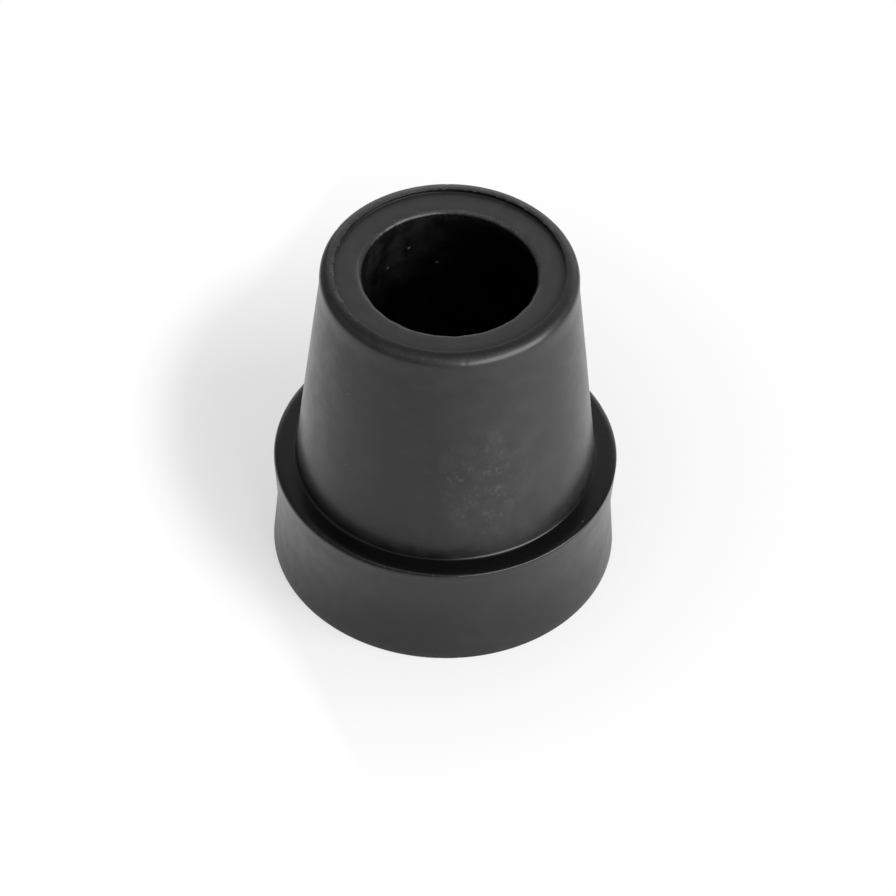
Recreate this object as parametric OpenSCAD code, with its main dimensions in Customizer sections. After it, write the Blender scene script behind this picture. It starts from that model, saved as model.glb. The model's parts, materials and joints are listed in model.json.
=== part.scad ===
// Rubber cane tip: one moulded piece that presses onto the lower end of a walking cane.
// The bore's axis is +Z, the sole stands on Z = 0, and one revolved section gives every face.
// The driving walls run outwards from the bore, so a new cane size carries the whole tip with it.

/* [Bore] */
// Diameter of the cane end that the bore grips
bore_d = 19; // [13:0.5:26]
// Thickness of solid rubber between the sole and the bore's floor
floor_h = 12.6; // [6:0.2:20]
// Rounding of the bore's mouth
mouth_round = 0.5; // [0.2:0.1:1.2]
// Fillet between the bore's wall and its floor
floor_round = 1.5; // [0.4:0.1:4]

/* [Barrel] */
// Height of the tapered barrel above the ledge
barrel_h = 28.15; // [18:0.05:40]
// Wall round the bore at the mouth
mouth_wall = 4.6; // [3.5:0.05:6.5]
// Wall round the bore at the barrel's root
root_wall = 7.25; // [5:0.05:10]
// Fillet where the barrel meets the ledge
root_round = 0.3; // [0.1:0.05:1]
// Drop of the barrel's neck below the rim's top
neck_drop = 3; // [2:0.1:8]
// Depth of the neck inside the straight line from the root to the rim
neck_inset = 0.2; // [0.05:0.05:0.4]
// Radius of the hollow round the neck
neck_round = 15; // [5:1:40]

/* [Rim] */
// Width of the raised rim round the mouth face
rim_w = 1.5; // [0.8:0.05:2]
// Height of the rim above the mouth face
rim_h = 0.45; // [0.2:0.05:1]
// Rounding of the rim's outer shoulder
rim_round = 1.25; // [0.2:0.05:1.5]
// Rounding of the step inside the rim
step_round = 0.1; // [0.05:0.05:0.3]

/* [Foot] */
// Height of the foot from the sole to the ledge
foot_h = 13.6; // [11:0.1:20]
// Width of the ledge between the barrel's root and the lip
ledge_w = 2.45; // [1.5:0.05:5]
// Rounding of the lip round the ledge
lip_round = 0.7; // [0.3:0.05:1.2]
// Height of the waist above the sole
waist_h = 7; // [4:0.1:9]
// Depth of the waist inside the lip
waist_inset = 0.5; // [0.2:0.05:2]
// Radius of the hollow round the waist
waist_round = 26; // [5:1:60]
// Flare of the foot from the waist out to the sole's edge
base_flare = 0.5; // [0.2:0.05:2.5]
// Rounding of the sole's edge
edge_round = 0.25; // [0.1:0.05:1]

/* [Tread] */
// Width of the plain land round the sole's edge
land_w = 3.2; // [2:0.1:6]
// Width of each ring groove at the sole
groove_w = 1.8; // [1:0.1:2.6]
// Depth of the ring grooves
groove_h = 1.5; // [0.5:0.1:3]
// Spacing from one ring groove to the next
groove_pitch = 4.6; // [3.4:0.1:7]
// Draft of the grooves' walls, in degrees
groove_draft = 8; // [2:1:15]
// Rounding of the grooves' edges
groove_round = 0.25; // [0.1:0.05:0.4]
// Least radius of the plain pad in the middle of the sole
pad_r = 3.5; // [2:0.1:8]

/* [Hidden] */

// Black rubber
rubber = [0.075, 0.075, 0.078];
// Largest turn of one step along an arc, in degrees, and the fewest steps of an arc
arc_step = 15;
arc_least = 5;
// Largest share of an edge that the arcs at its two ends may take up
edge_share = 0.96;
// Facets of the revolved section in a preview
round_fn = 128;

bore_r = bore_d / 2;
mouth_r = bore_r + mouth_wall;
root_r = bore_r + root_wall;
lip_r = root_r + ledge_w;
waist_r = lip_r - waist_inset;
sole_r = waist_r + base_flare;
rim_r = mouth_r - rim_w;
neck_r = mouth_r + (root_r - mouth_r) * neck_drop / barrel_h - neck_inset;
total_h = foot_h + barrel_h;
face_z = total_h - rim_h;

// Ring grooves fill the sole from its land inwards, as far as the pad in the middle
groove_count = floor((sole_r - land_w - groove_w - pad_r) / groove_pitch) + 1;
groove_slope = groove_h * tan(groove_draft);

// Unit vector along v
function along(v) = v / norm(v);

// Corners are [r, z, radius] and run round in a ring: the place of corner i, counted on past either end
function place(corners, i) =
    let (corner = corners[(i + len(corners)) % len(corners)])
    [corner[0], corner[1]];

// Half of the angle between a corner's two edges
function half_angle(corners, i) =
    let (at = place(corners, i))
    acos(along(place(corners, i - 1) - at) * along(place(corners, i + 1) - at)) / 2;

// How far an arc of the corner's own radius reaches along its edges
function full_reach(corners, i) = corners[i][2] / tan(half_angle(corners, i));

// The share of their full reach that the arcs at both ends of edge i can have without meeting
function edge_fit(corners, reaches, i) =
    let (
        next = (i + 1) % len(corners),
        room = edge_share * norm(place(corners, next) - place(corners, i)),
        wanted = reaches[i] + reaches[next]
    )
    wanted > room ? room / wanted : 1;

// A corner becomes an arc tangent to its two edges, or stays a point at radius 0
function rounded_corner(corners, i, reach) =
    let (
        at = place(corners, i),
        back = along(place(corners, i - 1) - at),
        ahead = along(place(corners, i + 1) - at),
        half = half_angle(corners, i),
        radius = reach * tan(half),
        centre = at + along(back + ahead) * radius / sin(half),
        first = at + back * reach - centre,
        last = at + ahead * reach - centre,
        start = atan2(first[1], first[0]),
        turn = atan2(cross(first, last), first * last),
        steps = max(arc_least, ceil(abs(turn) / arc_step))
    )
    reach == 0
        ? [at]
        : [for (j = [0:steps])
            let (angle = start + turn * j / steps)
            centre + radius * [cos(angle), sin(angle)]];

// The closed outline through a ring of corners, each with its own rounding
function rounded_outline(corners) =
    let (
        count = len(corners),
        reaches = [for (i = [0:count - 1]) full_reach(corners, i)],
        fits = [for (i = [0:count - 1]) edge_fit(corners, reaches, i)]
    )
    [for (i = [0:count - 1])
        each rounded_corner(corners, i, reaches[i] * min(fits[i], fits[(i + count - 1) % count]))];

// One ring groove, from its inner edge to its outer edge; groove 0 is the outermost
function groove(i) =
    let (
        outer = sole_r - land_w - i * groove_pitch,
        inner = outer - groove_w
    )
    [
        [inner, 0, groove_round],
        [inner + groove_slope, groove_h, groove_round],
        [outer - groove_slope, groove_h, groove_round],
        [outer, 0, groove_round],
    ];

// The sole, from the axis out to its edge
function sole_corners() = concat(
    [[0, 0, 0]],
    [for (i = [groove_count - 1:-1:0]) each groove(i)],
    [[sole_r, 0, edge_round]]
);

// The outside, from the waist up to the rim's shoulder
function outer_corners() = [
    [waist_r, waist_h, waist_round],
    [lip_r, foot_h, lip_round],
    [root_r, foot_h, root_round],
    [neck_r, total_h - neck_drop, neck_round],
    [mouth_r, total_h, rim_round],
];

// The mouth face and the blind bore, from the rim's crest down to the axis
function inner_corners() = [
    [rim_r, total_h, step_round],
    [rim_r, face_z, step_round],
    [bore_r, face_z, mouth_round],
    [bore_r, floor_h, floor_round],
    [0, floor_h, 0],
];

module cane_tip() {
    color(rubber)
        rotate_extrude($fn = round_fn)
            polygon(rounded_outline(concat(sole_corners(), outer_corners(), inner_corners())));
}

cane_tip();
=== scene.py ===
"""Rubber cane tip: one lathed surface with its moulding marks, standing in a pale studio."""

import json
import math
from typing import NamedTuple

import bpy
import numpy as np
from bpy.props import FloatProperty, FloatVectorProperty, IntProperty, PointerProperty
from bpy.types import Operator, Panel, PropertyGroup
from mathutils import Matrix, Vector


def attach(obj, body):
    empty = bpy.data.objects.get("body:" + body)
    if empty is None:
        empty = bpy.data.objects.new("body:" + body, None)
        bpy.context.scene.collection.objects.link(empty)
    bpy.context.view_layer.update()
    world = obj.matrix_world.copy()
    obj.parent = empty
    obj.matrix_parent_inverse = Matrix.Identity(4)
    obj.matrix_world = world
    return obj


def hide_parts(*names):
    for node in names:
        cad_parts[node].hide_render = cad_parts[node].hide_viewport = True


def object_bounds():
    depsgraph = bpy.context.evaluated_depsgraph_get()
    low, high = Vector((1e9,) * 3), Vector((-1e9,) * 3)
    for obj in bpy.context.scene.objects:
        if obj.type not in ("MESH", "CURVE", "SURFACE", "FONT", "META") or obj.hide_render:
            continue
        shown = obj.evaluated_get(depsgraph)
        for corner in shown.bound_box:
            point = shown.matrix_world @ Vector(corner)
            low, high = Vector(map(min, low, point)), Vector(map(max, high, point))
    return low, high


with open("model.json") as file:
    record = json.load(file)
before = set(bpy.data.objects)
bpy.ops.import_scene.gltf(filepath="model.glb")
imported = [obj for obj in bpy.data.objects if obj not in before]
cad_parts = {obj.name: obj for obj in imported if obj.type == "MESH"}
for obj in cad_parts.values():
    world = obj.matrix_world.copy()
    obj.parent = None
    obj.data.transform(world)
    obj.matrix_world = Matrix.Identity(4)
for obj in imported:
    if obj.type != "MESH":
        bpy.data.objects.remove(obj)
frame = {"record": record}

bl_info = {
    "name": "Rubber Cane Tip",
    "version": (1, 0, 0),
    "blender": (4, 5, 0),
    "location": "3D View > Sidebar > Cane Tip",
    "description": "Builds a moulded rubber cane tip and the studio it stands in",
    "category": "Add Mesh",
}

MM = 0.001
NODE = "cane_tip"
BODY = "root"
SLOT = "black_rubber"
IMAGE_SIDE = 896
SENSOR_MM = 36.0
SEED = 7
# Longest steps along the section where it is seen closely, and where it is hardly seen
FINE_STEP, COARSE_STEP = 0.25 * MM, 1.6 * MM
# How far each mark reaches along the section from the place it lies at
FLASH_REACH, CRUMB_GLINT_REACH, SAND_REACH = 0.2 * MM, 0.3 * MM, 0.5 * MM
MOUTH_REACH, FRAY_REACH, WEAR_REACH = 0.45 * MM, 0.28 * MM, 0.6 * MM
# The step's reach is that of the painted shade along the step's foot
STEP_SHADE_REACH, LEDGE_REACH = 0.45 * MM, 1.3 * MM
# Edges that have nicks: the corner, the reach in mm, the number of nicks, and their half width in radians
NICKED_EDGES = (("lip", 0.4, 9, 0.012), ("rim", 0.7, 8, 0.014), ("edge", 0.4, 10, 0.012))
# Waves in a turn, from the fewest to the most, of the noise in each mark round the axis
FLASH_WAVES, DIP_WAVES, MOUTH_WAVES, FINE_WAVES = (14, 90), (9, 60), (3, 34), (20, 110)
# Waves in the moulded walls: the least number in a turn, and the height of one in mm
WALL_WAVES = ((3, 31.0), (5, 17.0), (8, 12.0))
# Depth inside the lip over which the waves in the walls grow to their full height
WALL_ROOM = 0.3 * MM
# Share of dust at heights above the mouth face
DUST_HEIGHTS, DUST_SHARES = (-MM, -0.5 * MM, 0.1 * MM, 0.3 * MM), (0.0, 1.0, 1.0, 0.15)
# Specks of dust that lie in the bore, and specks in the cells of a pattern all over the rubber
SPECK_PLACES_MM = ((-4.53, 8.35, 36.7), (-6.78, 6.66, 35.2), (-1.43, 9.39, 33.66))
SPECK_RADIUS_MM = 0.22
DUST_CELL_MM, DUST_RADIUS_MM = 3.4, 0.12
# Waves per millimetre of the noise in the rubber's finish
MOTTLE_SCALE, SMUDGE_SCALE, CRUMB_GLINT_SCALE, PATCH_SCALE = 0.5, 0.3, 0.9, 0.6
STROKE_SCALE, FINE_SCALE, BROAD_SCALE = 3.0, 5.0, 0.9
# Shares of bloom that the marks on the rubber add. The crumbs' share is partly painted glints,
# the sand's is partly painted light at the rim's back, and the share for the barrel's pale side
# is painted light toward the key panel
CRUMB_AND_GLINT_SHARE, WORN_BLOOM, SCUFF_BLOOM, DUST_BLOOM = 0.2, 0.15, 0.16, 0.4
SAND_BLOOM, SAND_DOTS, PAINTED_LIGHT_SHARE = 0.22, 0.35, 1.7
# Heights of sand, broad grain and dust against the fine grain
SAND_GRAIN, BROAD_GRAIN, DUST_GRAIN = 3.0, 3.0, 8.0
# What scuffs and dust add to the roughness, and how far the mottling moves it
MARK_ROUGHNESS, MOTTLE_ROUGHNESS = 0.12, 0.05
# Sockets of a Mix node that mixes colours: its two colours and its result
MIX_FIRST, MIX_SECOND, MIX_RESULT = 6, 7, 2
# The floor: radii of its rings in metres, and its sides
FLOOR_RINGS, FLOOR_SIDES = (0.03, 0.06, 0.1, 0.14), 64

CAD_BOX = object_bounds()
BORE = next(m for m in frame["record"]["mounts"] if m["name"] == "cane_bore")
BORE_RADIUS = BORE["dims"]["r_mm"] * MM
BORE_WALL = BORE["dims"]["length_mm"] * MM
BORE_MIDDLE = BORE["pos_m"][2]


class Stretch(NamedTuple):
    """A stretch of the turn round the axis: its middle in degrees from +X, and its half width in radians."""

    middle: float
    width: float


RAGGED_LEFT, RAGGED_BACK = Stretch(190.0, 0.8), Stretch(62.0, 0.85)
# At the back, the sand's stretch is partly painted light from the back
SANDY_LEFT, SAND_AND_PAINTED_LIGHT_BACK = Stretch(185.0, 0.5), Stretch(105.0, 0.75)
TORN_OUT, TORN_IN = Stretch(128.0, 0.045), Stretch(4.0, 0.05)
BEVELLED_MOUTH, FRAYED_MOUTH = Stretch(168.0, 0.35), Stretch(45.0, 0.7)
SOFT_ROOT_LEFT, SOFT_ROOT_RIGHT = Stretch(-136.0, 0.28), Stretch(-65.0, 0.3)
KEEN_LIP = Stretch(-45.0, 0.9)
# Painted light: the first stretch makes the barrel's side toward the key panel paler
# Painted light: the second stretch makes the bore's wall paler at the back left, where the key panel shines
# in
PAINTED_LIGHT_BARREL, PAINTED_LIGHT_IN_BORE = Stretch(-57.0, 0.42), Stretch(150.0, 0.8)


def length(name, description, default):
    """A size in metres that a user may change."""
    return FloatProperty(
        name=name, description=description, default=default, min=0.0,
        precision=5, unit="LENGTH", subtype="DISTANCE",
    )


def share(name, description, default):
    """A plain factor that a user may change."""
    return FloatProperty(
        name=name, description=description, default=default, min=0.0, precision=4, subtype="FACTOR"
    )


def angle(name, description, degrees):
    """An angle in radians that a user may change, given in degrees."""
    return FloatProperty(name=name, description=description, default=math.radians(degrees), subtype="ANGLE")


def colour(name, description, default):
    """A linear colour that a user may change."""
    return FloatVectorProperty(
        name=name, description=description, default=default, size=3, min=0.0, max=1.0, subtype="COLOR"
    )


class TipSizes(PropertyGroup):
    """Sizes of the tip's section; the bore and the overall height come from the frame."""

    bore_radius: length("Bore Radius", "Radius of the bore that grips the cane", BORE_RADIUS)
    floor_fillet: length("Floor Fillet", "Fillet between the bore's wall and its floor", 1.5 * MM)
    mouth_round: length("Mouth Rounding", "Rounding of the bore's mouth", 0.6 * MM)
    mouth_wall: length("Mouth Wall", "Wall round the bore at the mouth", 4.6 * MM)
    root_wall: length("Root Wall", "Wall round the bore at the barrel's root", 7.25 * MM)
    root_round: length("Root Fillet", "Fillet where the barrel meets the ledge", 0.3 * MM)
    neck_drop: length("Neck Drop", "Drop of the barrel's neck below the rim's top", 3.0 * MM)
    neck_inset: length("Neck Inset", "Depth of the neck inside the line from root to rim", 0.2 * MM)
    neck_round: length("Neck Hollow", "Radius of the hollow round the neck", 15.0 * MM)
    height: length("Height", "Height from the sole to the rim", CAD_BOX[1].z - CAD_BOX[0].z)
    rim_width: length("Rim Width", "Width of the raised rim round the mouth face", 1.5 * MM)
    rim_height: length("Rim Height", "Height of the rim above the mouth face", 0.45 * MM)
    rim_round: length("Rim Rounding", "Rounding of the rim's outer shoulder", 1.25 * MM)
    crest_round: length("Crest Rounding", "Rounding of the rim's worn inner edge", 0.06 * MM)
    step_round: length("Step Rounding", "Rounding of the step inside the rim", 0.04 * MM)
    foot_height: length("Foot Height", "Height of the foot from the sole to the ledge", 13.6 * MM)
    ledge_width: length("Ledge Width", "Width of the ledge between the barrel and the lip", 2.45 * MM)
    lip_round: length("Lip Rounding", "Rounding of the lip round the ledge", 0.7 * MM)
    waist_height: length("Waist Height", "Height of the waist above the sole", 7.0 * MM)
    waist_inset: length("Waist Inset", "Depth of the waist inside the lip", 0.5 * MM)
    waist_round: length("Waist Hollow", "Radius of the hollow round the waist", 26.0 * MM)
    base_flare: length("Base Flare", "Flare of the foot from the waist to the sole's edge", 0.5 * MM)
    edge_round: length("Edge Rounding", "Rounding of the sole's edge", 0.25 * MM)
    land_width: length("Land Width", "Width of the plain land round the sole's edge", 3.2 * MM)
    groove_width: length("Groove Width", "Width of each ring groove at the sole", 1.8 * MM)
    groove_depth: length("Groove Depth", "Depth of the ring grooves", 1.5 * MM)
    groove_pitch: length("Groove Pitch", "Spacing from one ring groove to the next", 4.6 * MM)
    groove_draft: angle("Groove Draft", "Draft of the grooves' walls", 8.0)
    groove_round: length("Groove Rounding", "Rounding of the grooves' edges", 0.25 * MM)
    groove_count: IntProperty(
        name="Grooves", description="Number of ring grooves in the sole", default=3, min=0
    )
    turns: IntProperty(name="Segments", description="Steps round the tip", default=432, min=64)


class TipMarks(PropertyGroup):
    """Small marks that moulding and use leave on the tip."""

    flash: length("Flash", "Reach of the ragged flash along the rim's crest", 0.1 * MM)
    ragged: length("Ragged Mouth", "Unevenness of the bore's mouth", 0.025 * MM)
    bevel: length("Bevel", "Wear of the bore's mouth on its left", 0.16 * MM)
    sharp: share("Sharpness", "How much sharper the root and the lip are along stretches of their turn", 0.75)
    nick: length("Nicks", "Depth of the nicks in the lip, the rim and the sole's edge", 0.045 * MM)
    wobble: length("Wobble", "Unevenness of the moulded walls", 0.014 * MM)


class TipFinish(PropertyGroup):
    """Colours and gloss of the black rubber."""

    rubber: colour("Rubber", "Colour of the clean black rubber", (0.0012, 0.0012, 0.0013))
    bloom: colour("Bloom", "Colour of the pale bloom and dust on the rubber", (0.16, 0.16, 0.155))
    haze: share("Haze", "Share of bloom on the upright walls", 0.02)
    smudge: share("Smudge", "Share of bloom in the smudges on the walls", 0.03)
    top_dust: share("Top Dust", "Share of bloom on the mouth face and the rim", 0.17)
    roughness: share("Roughness", "Roughness of the open rubber faces", 0.55)
    clean_roughness: share("Clean Roughness", "Roughness of the ledge and the bore, which stay clean", 0.18)
    specular: share("Specular", "Specular level of the rubber", 0.27)
    skin: share("Skin", "Weight of the smoother skin that moulding leaves on the rubber", 0.62)
    skin_roughness: share("Skin Roughness", "Roughness of the smoother skin", 0.27)
    skin_ior: FloatProperty(
        name="Skin IOR", description="Index of refraction of the smoother skin", default=1.4, min=1.0
    )
    grain: length("Grain", "Height of the fine grain of the moulded skin", 0.002 * MM)
    scuff_place: FloatVectorProperty(
        name="Scuff Place", description="Middle of the scuffed patch on the barrel",
        default=(4.6 * MM, -15.1 * MM, 24.0 * MM), size=3, precision=5, unit="LENGTH", subtype="TRANSLATION",
    )
    scuff_size: length("Scuff Size", "Half the height of the scuffed patch", 10.0 * MM)


class Studio(PropertyGroup):
    """Camera, floor and light."""

    distance: length("Camera Distance", "Distance from the camera to its target", 600.0 * MM)
    elevation: angle("Camera Elevation", "Height of the camera above the horizon", 45.998)
    roll: angle("Camera Roll", "Roll of the camera about its line of sight", 1.47)
    target_side: length("Target Side", "How far right of the axis the camera looks", 0.304 * MM)
    target_height: length("Target Height", "Height above the sole that the camera looks at", 13.917 * MM)
    focal_pixels: FloatProperty(
        name="Focal Pixels", description="Focal length in pixels of the picture", default=5371.6, min=1.0
    )
    floor: colour("Floor", "Colour of the pale floor", (0.86, 0.86, 0.86))
    fill: share("Fill", "Level of the surround that lights the scene softly", 0.3)
    gloom: share("Gloom", "Level of the surround in reflections", 0.25)
    panel_distance: length("Panel Distance", "Distance of the light panels from the tip", 0.45)
    key_azimuth: angle("Key Azimuth", "Direction of the key panel round the tip, from +X", -42.0)
    key_elevation: angle("Key Elevation", "Height of the key panel above the horizon", 18.0)
    key_width: length("Key Width", "Width of the key panel", 0.58)
    key_height: length("Key Height", "Height of the key panel", 0.28)
    key_level: share("Key Level", "Radiance of the key panel", 7.4)
    back_azimuth: angle("Back Azimuth", "Direction of the back panel round the tip, from +X", 82.0)
    back_elevation: angle("Back Elevation", "Height of the back panel above the horizon", 21.0)
    back_width: length("Back Width", "Width of the back panel", 0.66)
    back_height: length("Back Height", "Height of the back panel", 0.32)
    back_level: share("Back Level", "Radiance of the back panel", 1.0)
    top_azimuth: angle("Top Azimuth", "Direction of the top panel round the tip, from +X", -95.0)
    top_elevation: angle("Top Elevation", "Height of the top panel above the horizon", 68.0)
    top_width: length("Top Width", "Width of the top panel", 0.5)
    top_height: length("Top Height", "Height of the top panel", 0.44)
    top_level: share("Top Level", "Radiance of the top panel", 0.4)
    white_from: length("White From", "Distance from the shade's middle where the fade starts", 19.0 * MM)
    white_to: length("White To", "Distance from the shade's middle where the floor is white", 55.0 * MM)
    white_near: share("White Near", "Share of white on the floor close to the tip", 0.56)
    shade_azimuth: angle("Shade Azimuth", "Direction in which the floor's shade lies, from +X", 117.0)
    shade_shift: length("Shade Shift", "How far the middle of the shade lies from the axis", 12.0 * MM)
    shade_length: length("Shade Length", "Half the length of the oval shade", 28.0 * MM)
    shade_width: length("Shade Width", "Half the width of the oval shade", 21.0 * MM)
    shade_edge: share("Shade Edge", "Width of the fade at the oval's left and back, as a share of it", 0.42)
    mirror_squeeze: share("Mirror Squeeze", "How far depth counts against width in the mirrored fade", 0.85)
    mirror_from: length("Mirror From", "Radius where the floor's fade starts in reflections", 19.5 * MM)
    mirror_to: length("Mirror To", "Radius where the floor is white in reflections", 25.0 * MM)
    mirror_near: share("Mirror Near", "Share of white close to the tip in reflections", 0.3)


class Corner(NamedTuple):
    """A corner of the section: its place, its rounding, and the longest step along the edge after it."""

    r: float
    z: float
    round: float = 0.0
    step: float = 1.0 * MM


def rounded_outline(corners, sag=0.004 * MM, edge_share=0.96):
    """Open outline through the corners, each inner one made an arc tangent to its two edges.

    An arc reaches radius / tan(half the corner's angle) along its edges. Where two arcs would meet on an
    edge, both shrink until they fit. A step along an arc stays within the sag of it, so it turns by
    sqrt(8 sag / radius), and edges between arcs are cut into equal steps.
    """
    at = np.array([[c.r, c.z] for c in corners])
    edges = np.diff(at, axis=0)
    lengths = np.linalg.norm(edges, axis=1)
    ahead = edges / lengths[:, None]
    half = np.full(len(corners), math.pi / 2)
    half[1:-1] = np.arccos(np.clip(-(ahead[:-1] * ahead[1:]).sum(axis=1), -1.0, 1.0)) / 2
    reach = np.array([c.round for c in corners]) / np.tan(half)
    reach[[0, -1]] = 0.0
    fit = np.minimum(1.0, edge_share * lengths / np.maximum(reach[:-1] + reach[1:], 1e-12))
    reach[1:-1] *= np.minimum(fit[:-1], fit[1:])
    points = []
    for i, corner in enumerate(corners):
        if reach[i] == 0.0:
            arc = at[i:i + 1]
        else:
            radius = reach[i] * math.tan(half[i])
            middle = ahead[i] - ahead[i - 1]
            centre = at[i] + middle / np.linalg.norm(middle) * radius / math.sin(half[i])
            first, last = at[i] - ahead[i - 1] * reach[i] - centre, at[i] + ahead[i] * reach[i] - centre
            turn = math.atan2(first[0] * last[1] - first[1] * last[0], first @ last)
            start = math.atan2(first[1], first[0])
            steps = max(4, math.ceil(abs(turn) / math.sqrt(8 * sag / radius)))
            along = start + turn * np.linspace(0.0, 1.0, steps + 1)
            arc = centre + radius * np.stack([np.cos(along), np.sin(along)], axis=1)
        if points:
            before = points[-1][-1]
            count = math.ceil(np.linalg.norm(arc[0] - before) / corners[i - 1].step)
            points.append(before + (arc[0] - before) * (np.arange(1, count) / count)[:, None])
        points.append(arc)
    return np.vstack(points)


def tip_corners(s):
    """The named corners of the section, from the sole's edge to the middle of the bore's floor.

    The points under the lip, over the root and by the step stand just past a rounding, so that smooth shading
    turns within the rounding alone.
    """
    mouth, root = s.bore_radius + s.mouth_wall, s.bore_radius + s.root_wall
    lip = root + s.ledge_width
    waist = lip - s.waist_inset
    rim, face = mouth - s.rim_width, s.height - s.rim_height
    neck = mouth + (root - mouth) * s.neck_drop / (s.height - s.foot_height) - s.neck_inset
    floor = BORE_MIDDLE - BORE_WALL / 2 - s.floor_fillet
    low, high = s.waist_height, s.height - s.neck_drop
    under_lip, over_root = s.foot_height - 1.15 * s.lip_round, s.foot_height + 1.2 * s.root_round
    return {
        "edge": Corner(waist + s.base_flare, 0.0, s.edge_round),
        "waist": Corner(waist, low, s.waist_round),
        "under_lip": Corner(np.interp(under_lip, (low, s.foot_height), (waist, lip)), under_lip),
        "lip": Corner(lip, s.foot_height, s.lip_round, FINE_STEP),
        "root": Corner(root, s.foot_height, s.root_round),
        "over_root": Corner(np.interp(over_root, (s.foot_height, high), (root, neck)), over_root),
        "neck": Corner(neck, high, s.neck_round),
        "rim": Corner(mouth, s.height, s.rim_round, FINE_STEP),
        "crest": Corner(rim, s.height, s.crest_round, FINE_STEP),
        "step": Corner(rim, face, s.step_round),
        "by_step": Corner(rim - 3.0 * s.step_round, face, step=0.5 * MM),
        "mouth": Corner(s.bore_radius, face, s.mouth_round),
        "well": Corner(s.bore_radius, floor, s.floor_fillet, COARSE_STEP),
        "floor": Corner(0.0, floor),
    }


def tip_section(s, corners):
    """The section of the tip, from the sole's middle round the outside to the middle of the bore's floor."""
    slope = s.groove_depth * math.tan(s.groove_draft)
    sole = [Corner(0.0, 0.0, step=COARSE_STEP)]
    for i in reversed(range(s.groove_count)):
        outer = corners["edge"].r - s.land_width - i * s.groove_pitch
        inner = outer - s.groove_width
        sole += [
            Corner(inner, 0.0, s.groove_round, COARSE_STEP),
            Corner(inner + slope, s.groove_depth, s.groove_round, COARSE_STEP),
            Corner(outer - slope, s.groove_depth, s.groove_round, COARSE_STEP),
            Corner(outer, 0.0, s.groove_round, COARSE_STEP),
        ]
    return rounded_outline([*sole, *corners.values()])


def near(section, corner, reach, power=2):
    """A bell of height 1 along the section, centred on a corner: exp(-(distance / reach) to the power)."""
    return np.exp(-((np.linalg.norm(section - (corner.r, corner.z), axis=1) / reach) ** power))


def drawn_in(section, corner):
    """The way from each point of a corner's arc to the corner itself, and nothing for the other points.

    A share of this way makes the rounding smaller by that share, as the arc's ends stay on its two edges.
    """
    way = np.array([corner.r, corner.z]) - section
    return way * (np.linalg.norm(way, axis=1) < 1.05 * corner.round)[:, None]


def bell_round(turns, azimuth, width):
    """A bell of height 1 round the axis that is centred on an azimuth: exp(-(turn / width) squared)."""
    away = np.arange(turns) * (2 * math.pi / turns) - azimuth
    return np.exp(-(((away + math.pi) % (2 * math.pi) - math.pi) / width) ** 2)


def along_stretch(turns, stretch):
    """A bell of height 1 round the axis that is centred on a stretch of the turn."""
    return bell_round(turns, math.radians(stretch.middle), stretch.width)


def noise_round(rng, turns, low, high):
    """Noise round the axis with a spread of 1.

    It is a sum of cosines of low to high waves a turn, with random heights and phases.
    """
    waves = np.arange(low, high + 1)[:, None]
    heights, phases = rng.normal(size=waves.shape), rng.uniform(0.0, 2 * math.pi, waves.shape)
    noise = (heights * np.cos(waves * np.arange(turns) * (2 * math.pi / turns) + phases)).sum(axis=0)
    return noise / noise.std()


def nicks_round(rng, turns, count, width):
    """Bells of random height up to 1 at random azimuths round the axis, the deepest of them at each turn."""
    places, depths = rng.uniform(0.0, 2 * math.pi, count), rng.uniform(0.3, 1.0, count)
    return np.max([depth * bell_round(turns, place, width) for place, depth in zip(places, depths)], axis=0)


def ragged_round(turns):
    """Where the rim's crest is ragged, round the axis: most on the left, less at the back, least in front."""
    left, back = along_stretch(turns, RAGGED_LEFT), along_stretch(turns, RAGGED_BACK)
    return np.clip(0.05 + left + 0.9 * back, 0.0, 1.0)


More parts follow.
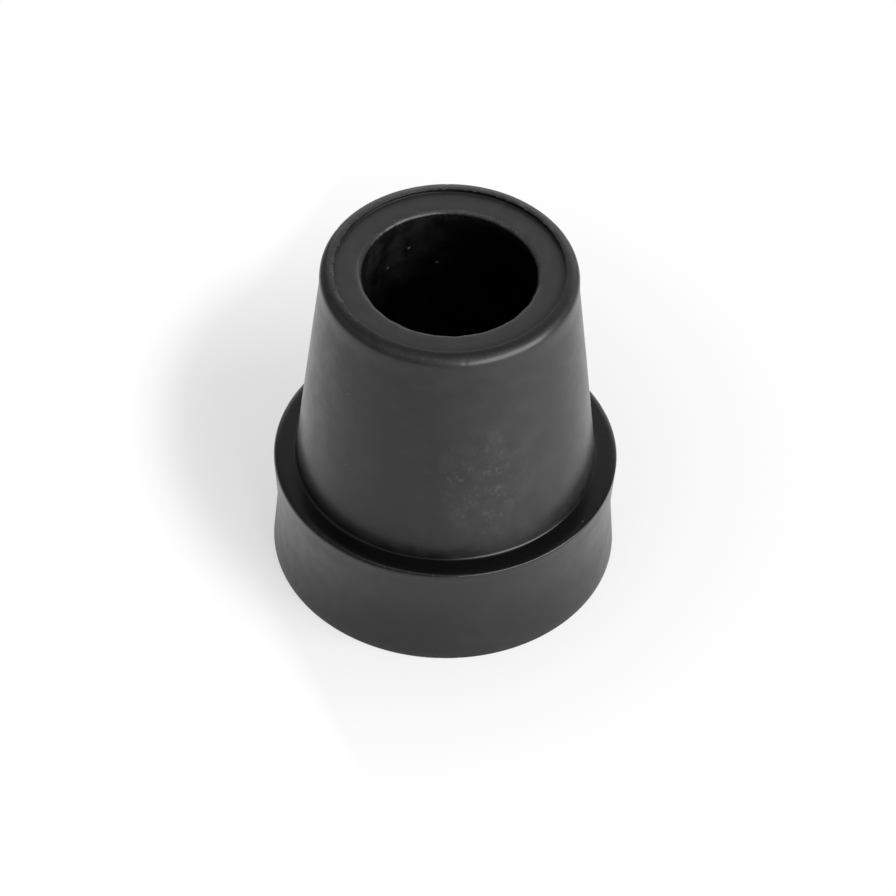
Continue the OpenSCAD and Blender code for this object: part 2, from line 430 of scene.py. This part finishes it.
def tip_marks(section, corners, turns, marks):
    """How far every grid point moves outwards and upwards.

    A mark is a bell along the section times noise, nicks or bells round the axis. The crest of the rim grows
    ragged flash inwards and has dips. The mouth of the bore is uneven, torn in two places and bevelled on its
    left. The root and the lip are drawn in to sharper corners along stretches of their turn. The lip, the rim
    and the sole's edge have nicks, and the walls wobble a little where they have room inside the lip.
    """
    rng = np.random.default_rng(SEED)
    crest = near(section, corners["crest"], FLASH_REACH)
    flash = np.maximum(noise_round(rng, turns, *FLASH_WAVES) - 0.3, 0.0) * ragged_round(turns)
    dip = np.maximum(noise_round(rng, turns, *DIP_WAVES), 0.0) * ragged_round(turns)
    mouth = near(section, corners["mouth"], MOUTH_REACH)
    uneven = noise_round(rng, turns, *MOUTH_WAVES)
    fine = noise_round(rng, turns, *FINE_WAVES)
    tear = along_stretch(turns, TORN_OUT) - 0.7 * along_stretch(turns, TORN_IN)
    outwards = -marks.flash * np.outer(crest, flash)
    outwards -= marks.ragged * np.outer(mouth, uneven + 0.5 * fine - 3.0 * tear)
    upwards = -0.25 * marks.flash * np.outer(crest, dip)
    upwards += 0.6 * marks.ragged * np.outer(mouth, np.roll(uneven, turns // 3) + 1.5 * tear)
    bevel = marks.bevel * np.outer(mouth, along_stretch(turns, BEVELLED_MOUTH))
    outwards += bevel
    upwards -= bevel
    soft = along_stretch(turns, SOFT_ROOT_LEFT) + along_stretch(turns, SOFT_ROOT_RIGHT)
    keen = np.clip(0.3 + along_stretch(turns, KEEN_LIP), 0.0, 1.0)
    for name, around in (("root", 1.0 - soft), ("lip", keen)):
        drawn = marks.sharp * drawn_in(section, corners[name])
        outwards += np.outer(drawn[:, 0], around)
        upwards += np.outer(drawn[:, 1], around)
    for name, reach, count, width in NICKED_EDGES:
        nicks = nicks_round(rng, turns, count, width)
        cut = marks.nick * np.outer(near(section, corners[name], reach * MM), nicks)
        outwards -= cut
        upwards -= cut * (name != "edge")
    room = np.clip((corners["lip"].r - section[:, 0]) / WALL_ROOM, 0.0, 1.0)
    room *= np.maximum(facing(section), 0.0)
    for waves, pitch in WALL_WAVES:
        rise = np.cos(section[:, 1] / (pitch * MM) * 2 * math.pi + rng.uniform(0.0, 6.0))
        outwards += 0.5 * marks.wobble * np.outer(room * rise, noise_round(rng, turns, waves, waves + 2))
    return outwards, upwards


def facing(section):
    """How far each point of the section faces outwards: 1 for outer walls, -1 for the bore's wall."""
    along = np.gradient(section, axis=0)
    return along[:, 1] / np.linalg.norm(along, axis=1)


def lathe_mesh(name, section, turns, outwards, upwards):
    """A closed mesh: point (k, j) is section point k, moved by its marks, turned by 2 pi j / turns about Z.

    The two ends of the section lie on the axis and give one vertex each.
    """
    ring = slice(1, -1)
    count = len(section) - 2
    around = np.arange(turns) * (2 * math.pi / turns)
    radius = section[ring, :1] + outwards[ring]
    height = section[ring, 1:] + upwards[ring]
    grid = np.stack([radius * np.cos(around), radius * np.sin(around), height], axis=2)
    poles = np.array([[0.0, 0.0, section[0, 1]], [0.0, 0.0, section[-1, 1]]])
    vertices = np.vstack([grid.reshape(-1, 3), poles])
    low, high = count * turns, count * turns + 1
    j = np.arange(turns)
    following = (j + 1) % turns
    k = np.arange(count - 1)[:, None] * turns
    quads = np.stack([k + j, k + following, k + turns + following, k + turns + j], axis=2).reshape(-1, 4)
    top = (count - 1) * turns
    first_fan = np.stack([np.full(turns, low), following, j], axis=1)
    last_fan = np.stack([np.full(turns, high), top + j, top + following], axis=1)
    return mesh_from_faces(name, vertices, quads, np.vstack([first_fan, last_fan]))


def add_share(mesh, name, shares, around):
    """A vertex attribute: its value at each point of the section times a share round the axis."""
    values = np.concatenate([np.outer(shares[1:-1], around).ravel(), shares[[0, -1]]])
    mesh.attributes.new(name, "FLOAT", "POINT").data.foreach_set("value", values.astype(np.float32))


def add_shares(mesh, section, corners, turns):
    """Where bloom, dust, sand, crumbs, wear and clean gloss lie on the rubber, as vertex attributes.

    Each is a bell or a slope along the section, times a bell round the axis if it keeps to a stretch of it.
    Some are painted light and shade. The barrel's pale side and the bore's wall at the back left are painted
    light, the crumbs and the sand are partly painted light, and less dust by the step is painted shade.
    """
    everywhere = np.ones(turns)
    outward = facing(section)
    upright = np.maximum(outward, 0.0)**2
    out_of_bore = np.clip(1.0 + 2.0 * outward, 0.0, 1.0)
    root, crest, mouth = corners["root"], corners["crest"], corners["mouth"]
    barrel = np.clip((section[:, 1] - root.z) / MM, 0.0, 1.0)
    add_share(mesh, "wall", upright * (0.5 + 0.5 * barrel), everywhere)
    # Painted light: paler haze on the barrel's side toward the key panel
    add_share(mesh, "pale", upright * barrel, along_stretch(turns, PAINTED_LIGHT_BARREL))
    # Painted light: haze on the bore's wall at the back left, where the key panel shines in
    add_share(mesh, "bore", 1.8 * np.minimum(outward, 0.0)**2, along_stretch(turns, PAINTED_LIGHT_IN_BORE))
    dusty = np.interp(section[:, 1] - mouth.z, DUST_HEIGHTS, DUST_SHARES)
    # Painted shade: half as much dust by the step, which darkens the face along the step's foot
    dusty *= 1.0 - 0.5 * near(section, corners["step"], STEP_SHADE_REACH)
    add_share(mesh, "top", dusty * (1.0 - outward**2), everywhere)
    edges = [near(section, corners[name], WEAR_REACH) for name in ("edge", "lip", "rim", "mouth")]
    add_share(mesh, "worn", np.max(edges, axis=0), everywhere)
    ledge = root._replace(r=(root.r + corners["lip"].r) / 2)
    deep = np.clip(-10.0 * outward - 9.0, 0.0, 1.0)
    add_share(mesh, "clean", np.maximum(near(section, ledge, LEDGE_REACH, 6), deep), everywhere)
    sand = near(section, crest._replace(r=crest.r + 0.3 * MM), SAND_REACH)
    # Sand on the rim's outer side, its paleness at the back partly painted light from the back
    sandy = 0.1 + along_stretch(turns, SAND_AND_PAINTED_LIGHT_BACK) + 0.6 * along_stretch(turns, SANDY_LEFT)
    add_share(mesh, "sandy", sand * out_of_bore, sandy)
    fray = mouth._replace(r=mouth.r + 0.3 * mouth.round, z=mouth.z - 0.3 * mouth.round)
    add_share(mesh, "frayed", near(section, fray, FRAY_REACH), along_stretch(turns, FRAYED_MOUTH))
    # Pale crumbs along the crest, partly painted glints where the ragged flash catches light
    crumbs_and_glints = near(section, crest._replace(r=crest.r + 0.15 * MM), CRUMB_GLINT_REACH)
    add_share(mesh, "crest", crumbs_and_glints * out_of_bore, ragged_round(turns))


def mesh_from_faces(name, vertices, quads, triangles):
    """A smooth-shaded mesh from arrays of vertices, four-sided faces and three-sided faces."""
    mesh = bpy.data.meshes.new(name)
    loops = np.concatenate([quads.ravel(), triangles.ravel()])
    totals = np.concatenate([np.full(len(quads), 4), np.full(len(triangles), 3)])
    mesh.vertices.add(len(vertices))
    mesh.vertices.foreach_set("co", vertices.astype(np.float32).ravel())
    mesh.loops.add(len(loops))
    mesh.loops.foreach_set("vertex_index", loops.astype(np.int32))
    mesh.polygons.add(len(totals))
    mesh.polygons.foreach_set("loop_start", (np.cumsum(totals) - totals).astype(np.int32))
    mesh.polygons.foreach_set("use_smooth", np.ones(len(totals), bool))
    mesh.update(calc_edges=True)
    mesh.validate()
    return mesh


def add_node(tree, kind, inputs=None, **settings):
    """A new shader node with its settings; an input takes a value, or a link where it is given a socket."""
    made = tree.nodes.new(kind)
    for key, value in settings.items():
        setattr(made, key, value)
    for key, value in (inputs or {}).items():
        if isinstance(value, bpy.types.NodeSocket):
            tree.links.new(value, made.inputs[key])
        else:
            made.inputs[key].default_value = value
    return made


def math_node(tree, operation, *values):
    """The result of a Math node with up to three values or sockets."""
    return add_node(tree, "ShaderNodeMath", dict(enumerate(values)), operation=operation).outputs[0]


def vector_node(tree, operation, *values):
    """The result of a Vector Math node with up to two vectors or sockets: a number where it measures."""
    made = add_node(tree, "ShaderNodeVectorMath", dict(enumerate(values)), operation=operation)
    return made.outputs["Value" if operation in ("LENGTH", "DISTANCE", "DOT_PRODUCT") else "Vector"]


def ramp(tree, value, low, high, start=0.0, end=1.0):
    """A smooth step of the value from start at low to end at high."""
    inputs = {"Value": value, "From Min": low, "From Max": high, "To Min": start, "To Max": end}
    return add_node(tree, "ShaderNodeMapRange", inputs, interpolation_type="SMOOTHSTEP").outputs["Result"]


def noise(tree, place, scale, detail=2.0, stretch=(1.0, 1.0, 1.0)):
    """Noise from 0 to 1 at a place in millimetres, with a scale in waves per millimetre."""
    scaled = vector_node(tree, "MULTIPLY", place, [scale * s for s in stretch])
    inputs = {"Vector": scaled, "Scale": 1.0, "Detail": detail}
    return add_node(tree, "ShaderNodeTexNoise", inputs).outputs["Fac"]


def attribute(tree, name):
    """A vertex attribute of the mesh as a number."""
    return add_node(tree, "ShaderNodeAttribute", attribute_name=name).outputs["Fac"]


def dust_specks(tree, place, cell, radius):
    """Specks of dust, sizes in mm: what lies near the middle of about half the cells of a cell pattern."""
    cells = add_node(tree, "ShaderNodeTexVoronoi", {"Vector": place, "Scale": 1.0 / cell})
    chosen = add_node(tree, "ShaderNodeSeparateColor", {"Color": cells.outputs["Color"]}).outputs
    size = math_node(tree, "MULTIPLY", chosen["Green"], radius / cell)
    inside = math_node(tree, "LESS_THAN", cells.outputs["Distance"], size)
    return math_node(tree, "MULTIPLY", inside, math_node(tree, "GREATER_THAN", chosen["Red"], 0.5))


def spots(tree, place, middles, radius):
    """Round spots at given places, with soft edges, sizes in mm."""
    found = 0.0
    for middle in middles:
        away = vector_node(tree, "DISTANCE", place, middle)
        found = math_node(tree, "MAXIMUM", ramp(tree, away, 0.5 * radius, radius, 1.0, 0.0), found)
    return found


def scuffs(tree, place, middle, size):
    """A scuffed patch: short upright strokes and dots that thin out away from its middle, sizes in mm."""
    away = vector_node(tree, "SUBTRACT", place, middle)
    distance = vector_node(tree, "LENGTH", vector_node(tree, "MULTIPLY", away, (1.4, 1.4, 1.0)))
    inside = ramp(tree, distance, size * 0.2, size, 1.0, 0.0)
    inside = math_node(tree, "MULTIPLY", inside, ramp(tree, noise(tree, place, PATCH_SCALE, 3.0), 0.35, 0.65))
    strokes = ramp(tree, noise(tree, place, STROKE_SCALE, 3.0, (1.0, 1.0, 0.6)), 0.48, 0.72, 0.1, 1.0)
    return math_node(tree, "MULTIPLY", inside, strokes)


def rubber_material(f):
    """Black moulded rubber: mottled bloom, dust and sand on the mouth, scuffs, wear and a fine grain.

    Each mark adds its share of bloom where the mesh's attributes and noise in millimetres put it. Some of
    the bloom is painted light: the barrel's pale side toward the key panel, the bore's wall at the back left
    where the key panel shines in, glints on the crumbs along the crest, and light on the rim's back in the
    sand. Less dust by the step is painted shade.
    """
    material = bpy.data.materials.new(SLOT)
    material.use_nodes = True
    tree = material.node_tree
    shader = tree.nodes["Principled BSDF"]
    metres = add_node(tree, "ShaderNodeTexCoord").outputs["Object"]
    place = add_node(
        tree, "ShaderNodeVectorMath", {0: metres, "Scale": 1.0 / MM}, operation="SCALE"
    ).outputs["Vector"]
    wall, bore, top = (attribute(tree, name) for name in ("wall", "bore", "top"))
    worn, crest = attribute(tree, "worn"), attribute(tree, "crest")
    sandy = math_node(tree, "MAXIMUM", attribute(tree, "sandy"), attribute(tree, "frayed"))
    mottle = ramp(tree, noise(tree, place, MOTTLE_SCALE, 5.0), 0.25, 0.75)
    fine = noise(tree, place, FINE_SCALE, 3.0)
    dots = ramp(tree, fine, 0.5, 0.72)
    smudge = ramp(tree, noise(tree, place, SMUDGE_SCALE, 4.0), 0.48, 0.75, 0.0, f.smudge)
    # Pale crumbs along the crest, partly painted glints where the ragged flash catches light
    crumbs_and_glints = math_node(tree, "MULTIPLY", crest, ramp(tree, noise(tree, place, CRUMB_GLINT_SCALE), 0.54, 0.68))
    dust = dust_specks(tree, place, DUST_CELL_MM, DUST_RADIUS_MM)
    dust = math_node(tree, "MAXIMUM", dust, spots(tree, place, SPECK_PLACES_MM, SPECK_RADIUS_MM))
    scuff = scuffs(tree, place, [v / MM for v in f.scuff_place], f.scuff_size / MM)
    # The bloom also holds painted light: the barrel's pale side, the bore's lit wall, crumb glints and the
    # rim's back
    bloom = math_node(tree, "ADD", smudge, ramp(tree, mottle, 0.0, 1.0, 0.3 * f.haze, 1.7 * f.haze))
    # The haze on the bore's wall is painted light, at the back left where the key panel shines in
    bloom = math_node(tree, "MULTIPLY", math_node(tree, "ADD", wall, bore), bloom)
    dusty = ramp(tree, mottle, 0.0, 1.0, 0.85 * f.top_dust, 1.15 * f.top_dust)
    bloom = math_node(tree, "MULTIPLY_ADD", top, dusty, bloom)
    # Painted light: paler haze on the barrel's side toward the key panel
    bloom = math_node(tree, "MULTIPLY_ADD", attribute(tree, "pale"), PAINTED_LIGHT_SHARE * f.haze, bloom)
    bloom = math_node(tree, "MULTIPLY_ADD", crumbs_and_glints, CRUMB_AND_GLINT_SHARE, bloom)
    bloom = math_node(tree, "MULTIPLY_ADD", math_node(tree, "MULTIPLY", worn, dots), WORN_BLOOM, bloom)
    sand = math_node(tree, "MULTIPLY_ADD", dots, SAND_DOTS, SAND_BLOOM)
    # The sand is grain and bloom, and at the rim's back partly painted light
    bloom = math_node(tree, "MULTIPLY_ADD", sandy, sand, bloom)
    bloom = math_node(tree, "MULTIPLY_ADD", scuff, SCUFF_BLOOM, bloom)
    bloom = math_node(tree, "MULTIPLY_ADD", dust, DUST_BLOOM, bloom)
    colours = {"Factor": bloom, MIX_FIRST: (*f.rubber, 1.0), MIX_SECOND: (*f.bloom, 1.0)}
    mixed = add_node(tree, "ShaderNodeMix", colours, data_type="RGBA", clamp_factor=True)
    tree.links.new(mixed.outputs[MIX_RESULT], shader.inputs["Base Color"])
    rough = ramp(tree, mottle, 0.0, 1.0, f.roughness - MOTTLE_ROUGHNESS, f.roughness + MOTTLE_ROUGHNESS)
    bare = math_node(tree, "SUBTRACT", f.clean_roughness, rough)
    rough = math_node(tree, "MULTIPLY_ADD", attribute(tree, "clean"), bare, rough)
    rough = math_node(tree, "MULTIPLY_ADD", math_node(tree, "MAXIMUM", scuff, dust), MARK_ROUGHNESS, rough)
    tree.links.new(rough, shader.inputs["Roughness"])
    shader.inputs["Specular IOR Level"].default_value = f.specular
    shader.inputs["Coat Weight"].default_value = f.skin
    shader.inputs["Coat Roughness"].default_value = f.skin_roughness
    shader.inputs["Coat IOR"].default_value = f.skin_ior
    height = math_node(tree, "MULTIPLY", fine, math_node(tree, "MULTIPLY_ADD", sandy, SAND_GRAIN, 1.0))
    height = math_node(tree, "MULTIPLY_ADD", noise(tree, place, BROAD_SCALE, 3.0), BROAD_GRAIN, height)
    height = math_node(tree, "MULTIPLY_ADD", dust, DUST_GRAIN, height)
    bump = add_node(tree, "ShaderNodeBump", {"Height": height, "Distance": f.grain, "Strength": 1.0})
    tree.links.new(bump.outputs["Normal"], shader.inputs["Normal"])
    tree.links.new(bump.outputs["Normal"], shader.inputs["Coat Normal"])
    return material


def new_object(name, data):
    """A new object in the scene, at the origin."""
    made = bpy.data.objects.new(name, data)
    bpy.context.scene.collection.objects.link(made)
    return made


def direction(azimuth, elevation):
    """Unit vector at an azimuth from +X and an elevation above the horizon."""
    flat = math.cos(elevation)
    return Vector((flat * math.cos(azimuth), flat * math.sin(azimuth), math.sin(elevation)))


def aimed(place, target, roll=0.0):
    """The pose of a camera or lamp at a place that looks at a target, rolled about its line of sight."""
    turn = (target - place).to_track_quat("-Z", "Y").to_matrix().to_4x4()
    return Matrix.Translation(place) @ turn @ Matrix.Rotation(roll, 4, "Z")


def add_camera(s):
    """The camera at the picture's angle: a long lens, a little rolled."""
    target = Vector((s.target_side, 0.0, s.target_height))
    place = Vector(
        (0.0, -s.distance * math.cos(s.elevation), s.distance * math.sin(s.elevation) + s.target_height)
    )
    data = bpy.data.cameras.new("camera")
    data.sensor_width = SENSOR_MM
    data.lens = s.focal_pixels / IMAGE_SIDE * SENSOR_MM
    data.clip_start, data.clip_end = 0.01, 20.0
    camera = new_object("camera", data)
    camera.matrix_world = aimed(place, target, s.roll)
    bpy.context.scene.camera = camera


def add_panel(s, name):
    """A broad light panel that faces the tip; its power is radiance times pi times its area."""
    width, height, level = (getattr(s, f"{name}_{key}") for key in ("width", "height", "level"))
    data = bpy.data.lights.new(name, "AREA")
    data.shape = "RECTANGLE"
    data.size, data.size_y = width, height
    data.energy = level * math.pi * width * height
    target = Vector((0.0, 0.0, s.target_height))
    towards = direction(getattr(s, f"{name}_azimuth"), getattr(s, f"{name}_elevation"))
    panel = new_object(name, data)
    panel.matrix_world = aimed(target + towards * s.panel_distance, target)
    panel.visible_camera = False


def floor_mesh():
    """A wide level disc: point (k, j) lies on ring k at 2 pi j / sides about Z; a fan closes the middle."""
    sides = FLOOR_SIDES
    around = np.arange(sides) * (2 * math.pi / sides)
    radius, turn = np.meshgrid(FLOOR_RINGS, around, indexing="ij")
    grid = np.stack([radius * np.cos(turn), radius * np.sin(turn), np.zeros_like(turn)], axis=2)
    vertices = np.vstack([grid.reshape(-1, 3), [[0.0, 0.0, 0.0]]])
    j = np.arange(sides)
    following = (j + 1) % sides
    k = np.arange(len(FLOOR_RINGS) - 1)[:, None] * sides
    quads = np.stack([k + j, k + sides + j, k + sides + following, k + following], axis=2).reshape(-1, 4)
    fan = np.stack([np.full(sides, len(vertices) - 1), j, following], axis=1)
    return mesh_from_faces("floor", vertices, quads, fan)


def floor_material(s):
    """A pale floor that keeps the tip's shadow.

    To the camera it fades to white away from the middle of the shade, and past the left and back of an oval
    round it. In reflections it fades to white away from the axis.
    """
    material = bpy.data.materials.new("pale_floor")
    material.use_nodes = True
    tree = material.node_tree
    shader = tree.nodes["Principled BSDF"]
    shader.inputs["Base Color"].default_value = (*s.floor, 1.0)
    shader.inputs["Roughness"].default_value = 0.9
    shader.inputs["Specular IOR Level"].default_value = 0.0
    place = add_node(tree, "ShaderNodeTexCoord").outputs["Object"]
    shade = direction(s.shade_azimuth, 0.0) * s.shade_shift
    away = vector_node(tree, "DISTANCE", place, shade)
    path = add_node(tree, "ShaderNodeLightPath").outputs
    seen = ramp(tree, away, s.white_from, s.white_to, s.white_near, 1.0)
    oval = add_node(
        tree, "ShaderNodeMapping",
        {
            "Vector": place, "Location": shade, "Rotation": (0.0, 0.0, s.shade_azimuth),
            "Scale": (s.shade_length, s.shade_width, 1.0),
        },
        vector_type="TEXTURE",
    ).outputs["Vector"]
    # On its other sides the way out of the oval counts up to 1 less, so that no edge shows there
    left_and_back = vector_node(tree, "DOT_PRODUCT", oval, (0.6, 1.0, 0.0))
    out = vector_node(tree, "LENGTH", oval)
    out = math_node(tree, "ADD", out, ramp(tree, left_and_back, -0.4, 0.9, -1.0, 0.0))
    seen = math_node(tree, "MAXIMUM", seen, ramp(tree, out, 1.0, 1.0 + s.shade_edge, s.white_near, 1.0))
    squeezed = vector_node(tree, "MULTIPLY", place, (1.0, s.mirror_squeeze, 1.0))
    apart = vector_node(tree, "LENGTH", squeezed)
    mirrored = ramp(tree, apart, s.mirror_from, s.mirror_to, s.mirror_near, 1.0)
    clear = math_node(tree, "MAXIMUM", path["Is Camera Ray"], path["Is Transmission Ray"])
    white = math_node(tree, "MULTIPLY", seen, clear)
    white = math_node(tree, "MULTIPLY_ADD", mirrored, path["Is Glossy Ray"], white)
    glow = add_node(tree, "ShaderNodeEmission", {"Strength": 1.0}).outputs[0]
    mixed = add_node(tree, "ShaderNodeMixShader", {0: white, 1: shader.outputs[0], 2: glow})
    tree.links.new(mixed.outputs[0], tree.nodes["Material Output"].inputs["Surface"])
    return material


def add_floor(s):
    """The pale floor that the tip stands on, which is no part of the tip."""
    floor = new_object("floor", floor_mesh())
    floor.data.materials.append(floor_material(s))


def add_surround(s):
    """A surround that is white to the camera, dim in reflections, and at the fill level for soft light."""
    world = bpy.data.worlds.new("pale_surround")
    bpy.context.scene.world = world
    world.use_nodes = True
    tree = world.node_tree
    back = tree.nodes["Background"]
    back.inputs["Color"].default_value = (1.0, 1.0, 1.0, 1.0)
    path = add_node(tree, "ShaderNodeLightPath").outputs
    mirrored = add_node(
        tree, "ShaderNodeMapRange", {"Value": path["Is Glossy Ray"], "To Min": s.fill, "To Max": s.gloom}
    ).outputs["Result"]
    clear = math_node(tree, "MAXIMUM", path["Is Camera Ray"], path["Is Transmission Ray"])
    level = math_node(tree, "MAXIMUM", mirrored, clear)
    tree.links.new(level, back.inputs["Strength"])


class CANETIP_OT_studio(Operator):
    """Set up the camera, the pale floor, the white surround and the light panels"""

    bl_idname = "cane_tip.studio"
    bl_label = "Set Up Studio"

    def execute(self, context):
        studio = context.scene.cane_tip_studio
        context.scene.view_settings.view_transform = "Standard"
        add_camera(studio)
        add_floor(studio)
        add_surround(studio)
        for name in ("key", "back", "top"):
            add_panel(studio, name)
        return {"FINISHED"}


class CANETIP_OT_tip(Operator):
    """Build the rubber tip as one lathed surface"""

    bl_idname = "cane_tip.tip"
    bl_label = "Build Rubber Tip"

    def execute(self, context):
        sizes = context.scene.cane_tip_sizes
        corners = tip_corners(sizes)
        section = tip_section(sizes, corners)
        moves = tip_marks(section, corners, sizes.turns, context.scene.cane_tip_marks)
        mesh = lathe_mesh("rubber_tip", section, sizes.turns, *moves)
        add_shares(mesh, section, corners, sizes.turns)
        tip = new_object("rubber_tip", mesh)
        mesh.materials.append(rubber_material(context.scene.cane_tip_finish))
        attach(tip, BODY)
        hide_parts(NODE)
        return {"FINISHED"}


class CANETIP_PT_panel(Panel):
    """Sidebar panel with the sizes, the finish and the studio"""

    bl_idname = "CANETIP_PT_panel"
    bl_label = "Rubber Cane Tip"
    bl_space_type = "VIEW_3D"
    bl_region_type = "UI"
    bl_category = "Cane Tip"

    def draw(self, context):
        layout = self.layout
        for operator, groups in (
            (CANETIP_OT_studio, ("cane_tip_studio",)),
            (CANETIP_OT_tip, ("cane_tip_sizes", "cane_tip_marks", "cane_tip_finish")),
        ):
            layout.operator(operator.bl_idname)
            for group in groups:
                settings = getattr(context.scene, group)
                for key in settings.__annotations__:
                    layout.prop(settings, key)


CLASSES = (TipSizes, TipMarks, TipFinish, Studio, CANETIP_OT_studio, CANETIP_OT_tip, CANETIP_PT_panel)


def register():
    """Register the classes and hang the settings on the scene."""
    for each in CLASSES:
        bpy.utils.register_class(each)
    bpy.types.Scene.cane_tip_sizes = PointerProperty(type=TipSizes)
    bpy.types.Scene.cane_tip_marks = PointerProperty(type=TipMarks)
    bpy.types.Scene.cane_tip_finish = PointerProperty(type=TipFinish)
    bpy.types.Scene.cane_tip_studio = PointerProperty(type=Studio)


def unregister():
    """Take the settings off the scene and unregister the classes."""
    del bpy.types.Scene.cane_tip_sizes
    del bpy.types.Scene.cane_tip_marks
    del bpy.types.Scene.cane_tip_finish
    del bpy.types.Scene.cane_tip_studio
    for each in reversed(CLASSES):
        bpy.utils.unregister_class(each)


def main():
    """Register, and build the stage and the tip."""
    register()
    bpy.ops.cane_tip.studio()
    bpy.ops.cane_tip.tip()


if __name__ == "__main__":
    main()
